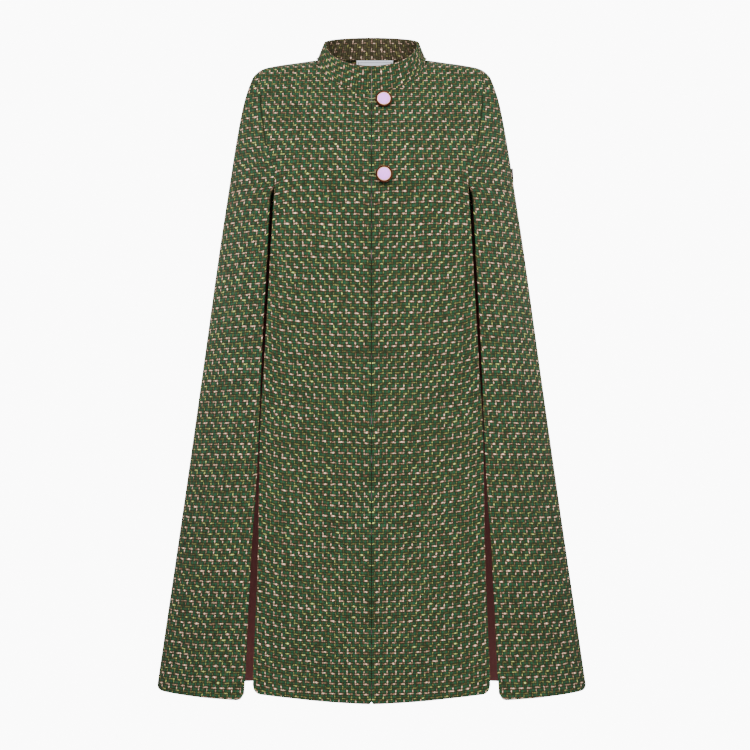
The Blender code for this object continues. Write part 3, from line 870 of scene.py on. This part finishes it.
def trim_material():
    """Turned edges at the centre front: grey-mauve thread at the collar and neck, and lower down a painted
    shadow line, dark brown with mauve patches.
    """
    g = Graph("edge_thread_and_painted_shadow")
    place = g.object_place()
    fibre = g.noise(place, 900.0)[0]
    share = g.spread(fibre)
    grey = g.tint(share, (0.065, 0.056, 0.052), (0.15, 0.13, 0.12))
    # Painted shadow where the two fronts meet below the neck: dark brown, with mauve patches
    brown = g.tint(share, (0.006, 0.008, 0.004), (0.020, 0.022, 0.011))
    brown = g.tint(g.spread(g.noise(place, 55.0, 1.0)[0], 0.52, 0.66), brown, (0.085, 0.055, 0.060))
    colour = g.tint(g.spread(g.parts(place)[2], TRIM_END - TRIM_FADE, TRIM_END + TRIM_FADE), brown, grey)
    g.bump(fibre, 0.0002, 0.6)
    return g.finish(colour, g.blend(fibre, 1.0, 0.9), Specular_IOR_Level=0.0)


def seam_shade_material():
    """Painted shade: the dark line where the cloth turns into the armhole seam."""
    g = Graph("seam_painted_shade")
    fibre = g.spread(g.noise(g.object_place(), 700.0)[0])
    colour = g.tint(fibre, (0.006, 0.008, 0.004), (0.022, 0.030, 0.014))
    g.bump(fibre, 0.0002, 0.6)
    return g.finish(colour, g.blend(fibre, 1.0, 0.9), Specular_IOR_Level=0.0)


def tab_material():
    """Plain dark plum twill; the place runs from 0 to 1 each way."""
    g = Graph("tab_twill")
    across, down, _ = g.weave_place()
    rib = g.math("SINE", g.times(g.plus(across, down), 60.0))
    share = g.scaled(rib, 0.5, 0.5)
    colour = g.tint(share, linear(40, 22, 30), linear(66, 38, 50))
    g.bump(rib, 0.0002, 0.6)
    return g.finish(colour, g.blend(share, 1.0, 0.9), Specular_IOR_Level=0.0)


def face_material():
    """Lilac pearl, with faint streaks down the face."""
    g = Graph("button_pearl")
    x, y, _ = g.parts(g.object_place())
    streak = g.noise(g.vector(g.times(x, 1500.0), g.times(y, 180.0)), 1.0, 3.0)[0]
    colour = g.tint(g.spread(streak), (0.68, 0.18, 0.98), (0.88, 0.29, 1.0))
    return g.finish(colour, g.blend(streak, 0.4, 0.55), Specular_IOR_Level=0.3)


def clouded(name, scale, dark, light, rough, raised=0.0, **others):
    """A material with two tones in clouds or fibres, which can be raised."""
    g = Graph(name)
    cloud = g.noise(g.object_place(), scale)[0]
    colour = g.tint(g.spread(cloud), dark, light)
    if raised:
        g.bump(cloud, raised, 0.6)
    return g.finish(colour, g.blend(cloud, *rough), **others)


def floor_material():
    g = Graph("pale_floor")
    cloud = g.noise(g.object_place(), 3.0, 3.0)[0]
    return g.finish(g.tint(cloud, (0.86, 0.86, 0.86), (0.90, 0.90, 0.90)), g.blend(cloud, 0.7, 0.8))


def backdrop_material():
    g = Graph("white_screen")
    cloud = g.noise(g.object_place(), 0.2)[0]
    colour = g.tint(cloud, (0.97, 0.97, 0.97), (1.0, 1.0, 1.0))
    glow = {"Emission_Color": colour, "Emission_Strength": SCREEN_GLOW}
    return g.finish(colour, g.blend(cloud, 0.8, 0.9), **glow)


def place(item, node, slot):
    """Put a finished piece in place of its solid."""
    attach(item, "root")
    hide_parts(node)


tweed = tweed_material("tweed_outside", OUTSIDE)
tweed_inside = tweed_material("tweed_inside", INSIDE)
satin = lining_material()
edge_thread_and_painted_shadow = trim_material()
seam_painted_shade = seam_shade_material()

Cut = namedtuple("Cut", "width length area")


def edge_trim(kind, panel):
    """The edge places that show thread and a painted shadow line at the centre front, and the painted shade
    line where the armhole seam is seen.
    """
    trim = np.zeros(panel.height.shape, dtype=np.int32)
    seam_shaded = (panel.height < SEAM_LINE_TOP) & (panel.height > SEAM_LINE_END)
    if kind == "front":
        trim[:, -1] = SEAM_SHADE_SLOT * seam_shaded[:, -1]
        trim[:, 0] = CENTRE_SLOT
    if kind == "side":
        trim[0] = SEAM_SHADE_SLOT * seam_shaded[0]
    return trim


WEAVES = {"front": front_weave, "side": side_weave, "back": back_weave}


def sew(kind, name, panel, mirror=False, lined=False):
    """A hanging panel of tweed, or of the lining that lies a seam's gap under it, in place of its solid."""
    normals = outward(panel.height, panel.angle)
    weave = WEAVES[kind](panel)
    if lined:
        points = layer(kind, panel, CLOTH + SEAM)
        item = shell("satin_" + name, points, normals, LINING_CLOTH, weave, [satin, satin], mirror)
        place(item, "lining_" + name, "lining")
    else:
        # Tweed outside and inside, then the centre front's thread with its painted shadow line, and the
        # armhole seam's painted shade
        materials = [tweed, tweed, edge_thread_and_painted_shadow, seam_painted_shade]
        item = shell("tweed_" + name, layer(kind, panel, 0), normals, CLOTH, weave, materials, mirror,
                     edge_trim(kind, panel))
        place(item, name, "tweed")


def make_panels():
    rows = np.interp(np.linspace(0, 1, CLOTH_ROWS), (0, UPPER_SHARE, 1), (0, SEAM_ROWS, LAST_ROW))
    side_rows = np.linspace(SEAM_ROWS, LAST_ROW, CLOTH_ROWS)
    lining_rows = np.linspace(1.0, LINING_LAST_ROW, LINING_ROWS)
    lining_side_rows = np.linspace(SEAM_ROWS + 1.0, LINING_LAST_ROW, LINING_ROWS)
    lining_places = eased(LINING_COLUMNS, PANEL_GATHER)
    inner = CENTRE_CORNER / (PANEL_END - HALF_OPENING)
    outer = 1 - CORNER_PLACE * FRONT_CORNER / float(front_edge(HEM))
    first = CORNER_PLACE * SIDE_CORNER / SIDE_HEM_LENGTH
    pieces = (
        ("front", front_panel(eased(FRONT_COLUMNS, PANEL_GATHER), rows), False),
        ("front", front_panel(inner + (outer - inner) * lining_places, lining_rows), True),
        ("side", side_panel(eased(SIDE_COLUMNS, PANEL_GATHER), side_rows), False),
        ("side", side_panel(first + (1 - first) * lining_places, lining_side_rows), True),
    )
    for mirror, hand in ((False, "left"), (True, "right")):
        for kind, panel, lined in pieces:
            sew(kind, f"{kind}_{hand}", panel, mirror, lined)
    sew("back", "back", back_panel(eased(BACK_COLUMNS, BACK_GATHER), rows))
    sew("back", "back", back_panel(eased(2 * LINING_COLUMNS, BACK_GATHER), lining_rows), lined=True)


def make_collar():
    start = math.asin(HALF_OPENING / NECK_HALF_WIDTH)
    angle = (start + (2 * math.pi - 2 * start) * np.linspace(0, 1, COLLAR_COLUMNS))[None, :]
    rise = np.linspace(1, 0, COLLAR_ROWS)[:, None] + 0 * angle
    angle = angle + 0 * rise
    points = collar_surface(rise, angle)
    normals = collar_outward(rise, angle)
    spans = length(np.diff(points, axis=1)).mean(axis=0)
    round_it = np.concatenate(([0.0], np.cumsum(spans)))
    up = length(points - points[-1:])
    along = (round_it - round_it[-1] / 2) / WEFT_PITCH + PINK_MIDDLE
    weave = np.stack((up / WARP_PITCH, along + 0 * up), axis=-1)
    trim = np.zeros(rise.shape, dtype=np.int32)
    trim[:, [0, -1]] = CENTRE_SLOT
    item = shell("tweed_collar", points, normals, COLLAR_CLOTH, weave, [tweed, tweed_inside, edge_thread_and_painted_shadow],
                 trim=trim, trim_from=1)
    place(item, "collar", "tweed")


def unit_square(rows, columns):
    across, down = np.meshgrid(np.linspace(0, 1, columns), np.linspace(0, 1, rows))
    return np.stack((across, down), axis=-1)


def make_label():
    """The label lies on the back lining, and its top stands above the lining's rows by a share of one row."""
    back_width = 2 * PANEL_END
    half = LABEL_HALF_WIDTH / back_width
    middle = 0.5 + LABEL_SHIFT / back_width
    rows = np.concatenate(([0.0], np.arange(0.0, LABEL_LAST_ROW + LABEL_ROW_STEP / 2, LABEL_ROW_STEP)))
    one_row = round(1 / LABEL_ROW_STEP)
    panel = back_panel(np.linspace(middle - half, middle + half, LABEL_COLUMNS), rows)
    points = layer("back", panel, CLOTH + SEAM + LINING_CLOTH + LABEL_GAP)
    points[0] = points[1] + LABEL_RISE * (points[1] - points[1 + one_row])
    normals = outward(panel.height, panel.angle)
    pale = label_material()
    square = unit_square(len(rows), LABEL_COLUMNS)
    item = shell("satin_label", points, normals, LABEL_CLOTH, square, [pale, pale])
    place(item, "neck_label", "label")


def make_tab():
    """A small folded tab where its solid stands; it hangs straight, so the side meets it lower down."""
    low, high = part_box("arm_tab")
    down = np.linspace(0, 1, TAB_ROWS)[:, None] + np.zeros(TAB_COLUMNS)
    heights = high.z + (low.z - high.z) * down
    y = low.y + (high.y - low.y) * np.linspace(0, 1, TAB_COLUMNS) + 0 * down
    share = (side_line(heights) - y) / (side_line(heights) + front_reach(heights))
    turn = np.clip(np.abs(share), 0, 1) ** (1 / turn_power(heights))
    angle = np.where(share > 0, np.arccos(turn), math.pi - np.arccos(turn))
    normals = outward(heights, angle)
    lift = TAB_TOP_LIFT + (TAB_END_LIFT - TAB_TOP_LIFT) * down
    points = body(heights, angle) + lift[..., None] * normals
    plum = tab_material()
    square = unit_square(TAB_ROWS, TAB_COLUMNS)
    item = shell("woven_tab", points, normals, TAB_THICKNESS, square, [plum, plum])
    place(item, "arm_tab", "tab")


def front_place(x, height, lift):
    """A place on the left front's surface, or above it, and the direction out from it."""
    angle = angle_at(x, height)
    normal = outward(np.float64(height), angle)
    return Vector(body(np.float64(height), angle) + lift * normal), Vector(normal)


def lathe(name, profile, materials, spans):
    """A turned piece from a profile of (radius, height) points; spans gives each material's part of it."""
    radii, heights = np.array(profile).T
    turns = np.linspace(0, 2 * math.pi, BUTTON_STEPS, endpoint=False)
    verts = np.stack((radii[:, None] * np.cos(turns), radii[:, None] * np.sin(turns),
                      heights[:, None] + 0 * turns), axis=-1).reshape(-1, 3)
    at = np.arange(len(profile) * BUTTON_STEPS).reshape(len(profile), BUTTON_STEPS)
    after = np.roll(at, -1, axis=1)
    quads = np.stack((at[:-1], at[1:], after[1:], after[:-1]), axis=-1)
    faces = quads.reshape(-1, 4).tolist() + [at[0].tolist(), at[-1][::-1].tolist()]
    mesh = new_mesh(name, verts.tolist(), faces, materials)
    for k, (first, last) in enumerate(spans):
        for polygon in mesh.polygons[first * BUTTON_STEPS:last * BUTTON_STEPS]:
            polygon.material_index = k
    mesh.shade_smooth()
    mesh.set_sharp_from_angle(angle=SHARP_ANGLE)
    return add(name, mesh)


def make_button(button, rim_material, line_material, pearl):
    """A rim on its shank and a domed face with a line round it, tipped down by the button's droop."""
    lift = SEAM + SHANK_RADIUS * math.sin(button.droop)
    spot, normal = front_place(BUTTON_X, button.height, lift)
    axis = Matrix.Rotation(button.droop, 3, "X") @ normal
    seat = SHANK_HEIGHT + FACE_SEAT
    lip = seat + RIM_LIP
    thick = (BUTTON_RADIUS - FACE_RADIUS) / 2
    centre = FACE_RADIUS + thick
    round_top = [(centre + thick * math.cos(a), lip - thick + thick * math.sin(a))
                 for a in np.linspace(math.pi, 0, RIM_POINTS)]
    rim = [(AXIS_RADIUS, seat), (FACE_RADIUS - 0.0001, seat)] + round_top
    rim += [(radius, SHANK_HEIGHT + height) for radius, height in RIM_UNDERSIDE]
    rim += [(SHANK_RADIUS, 0.0), (AXIS_RADIUS, 0.0)]
    rim_item = lathe(f"rim_{button.name}", rim, [rim_material], [(0, len(rim) - 1)])
    edge = FACE_RADIUS - SEAM
    dome = [(edge * s, lip + FACE_DOME * (1 - 2.0 * s ** 4)) for s in DOME_PLACES]
    dome += [(edge * s, lip - depth) for s, depth in LINE_PROFILE]
    dome += [(edge, seat + SEAM), (AXIS_RADIUS, seat + SEAM)]
    line_start = len(DOME_PLACES)
    spans = [(0, line_start), (line_start, len(dome) - 1)]
    face_item = lathe(f"face_{button.name}", dome, [pearl, line_material], spans)
    for item, node, slot in ((rim_item, "rim", "button_rim"), (face_item, "face", "button_face")):
        item.location = spot
        item.rotation_euler = axis.to_track_quat("Z", "Y").to_euler()
        place(item, f"button_{button.name}_{node}", slot)


def loop_route(height):
    """Places along a loop, out from the right front, round the shank and back, as (x, height)."""
    bend = SHANK_RADIUS + 2 * SEAM + LOOP_RADIUS
    run = BUTTON_X - LOOP_ROOT_X
    along = np.linspace(0, 1, LOOP_POINTS, endpoint=False)
    rise = LOOP_ROOT_HALF + along * (bend - LOOP_ROOT_HALF)
    arc = np.linspace(math.pi / 2, -math.pi / 2, LOOP_POINTS)
    out = np.stack((LOOP_ROOT_X + along * run, height + rise), axis=-1)
    turn = np.stack((BUTTON_X + bend * np.cos(arc), height + bend * np.sin(arc)), axis=-1)
    home = np.stack((LOOP_ROOT_X + along * run, height - rise), axis=-1)[::-1]
    return np.concatenate((out, turn, home))


def make_loop(button, material):
    """Two plies of thread, twisted round each other along the loop."""
    route = loop_route(button.height)
    centres = np.array([front_place(x, z, SEAM + LOOP_RADIUS)[0] for x, z in route])
    steps = length(np.diff(centres, axis=0))
    along = np.concatenate(([0.0], np.cumsum(steps)))
    even = np.linspace(0, along[-1], LOOP_STEPS)
    centres = np.stack([np.interp(even, along, centres[:, k]) for k in range(3)], axis=-1)
    ahead = unit(np.gradient(centres, axis=0))
    outs = unit(np.array([front_place(x, z, 0.0)[1] for x, _, z in centres]))
    beside = unit(np.cross(ahead, outs))
    above = np.cross(beside, ahead)
    verts, faces = [], []
    around = np.linspace(0, 2 * math.pi, PLY_SIDES, endpoint=False)
    for ply in range(2):
        phase = 2 * math.pi * even / PLY_TURN + ply * math.pi
        offset = np.cos(phase)[:, None] * beside + np.sin(phase)[:, None] * above
        offset = (LOOP_RADIUS - PLY_RADIUS) * offset
        ring = (np.cos(around)[None, :, None] * beside[:, None]
                + np.sin(around)[None, :, None] * above[:, None])
        first = len(verts) * LOOP_STEPS * PLY_SIDES
        verts.append((centres + offset)[:, None] + PLY_RADIUS * ring)
        at = first + np.arange(LOOP_STEPS * PLY_SIDES).reshape(LOOP_STEPS, PLY_SIDES)
        after = np.roll(at, -1, axis=1)
        quads = np.stack((at[:-1], after[:-1], after[1:], at[1:]), axis=-1).reshape(-1, 4)
        faces += quads.tolist() + [at[0][::-1].tolist(), at[-1].tolist()]
    name = f"thread_{button.name}"
    mesh = new_mesh(name, np.concatenate(verts).reshape(-1, 3).tolist(), faces, [material])
    mesh.shade_smooth()
    place(add(name, mesh), f"loop_{button.name}", "thread")


def area_light(light):
    data = bpy.data.lights.new(light.name, "AREA")
    data.shape = "RECTANGLE"
    data.size, data.size_y = light.size
    data.energy = light.power
    data.spread = math.radians(light.spread)
    item = add(light.name, data)
    item.location = light.spot
    item.rotation_euler = (Vector(light.aim) - Vector(light.spot)).to_track_quat("-Z", "Y").to_euler()


def make_stage():
    """A pale floor below the cape, a white screen behind it, soft light all round, and the camera."""
    around = np.linspace(0, 2 * math.pi, FLOOR_SIDES, endpoint=False)
    rim = [(FLOOR_RADIUS * math.cos(a), FLOOR_RADIUS * math.sin(a), FLOOR_LEVEL) for a in around]
    floor = add("floor", new_mesh("floor", rim, [list(range(FLOOR_SIDES))], [floor_material()]))
    screen = add("backdrop", new_mesh("backdrop", SCREEN_CORNERS, [(0, 1, 2, 3)], [backdrop_material()]))
    world = bpy.data.worlds.new("studio")
    world.use_nodes = True
    sky = world.node_tree.nodes["Background"].inputs
    sky["Color"].default_value = (1.0, 1.0, 1.0, 1.0)
    sky["Strength"].default_value = SKY_STRENGTH
    bpy.context.scene.world = world
    for light in LIGHTS:
        area_light(light)
    camera = bpy.data.cameras.new("camera")
    camera.lens = CAMERA_LENS
    camera.sensor_width = SENSOR_WIDTH
    item = add("camera", camera)
    item.location = CAMERA_PLACE
    item.rotation_euler = (math.pi / 2, 0, 0)
    bpy.context.scene.camera = item


make_panels()
make_collar()
make_label()
make_tab()
copper = clouded("button_copper", 90.0, linear(46, 18, 11), linear(70, 32, 20), (0.42, 0.58),
                 Specular_IOR_Level=0.04)
gold = clouded("button_line", 90.0, linear(206, 160, 96), linear(240, 206, 150), (0.27, 0.43),
               Metallic=0.4, Specular_IOR_Level=0.3)
lilac = face_material()
loop_thread = clouded("loop_thread", 1800.0, (0.055, 0.065, 0.024), (0.24, 0.27, 0.10), (0.9, 0.75),
                      raised=0.0002)
for each in BUTTONS:
    make_button(each, copper, gold, lilac)
    make_loop(each, loop_thread)
make_stage()
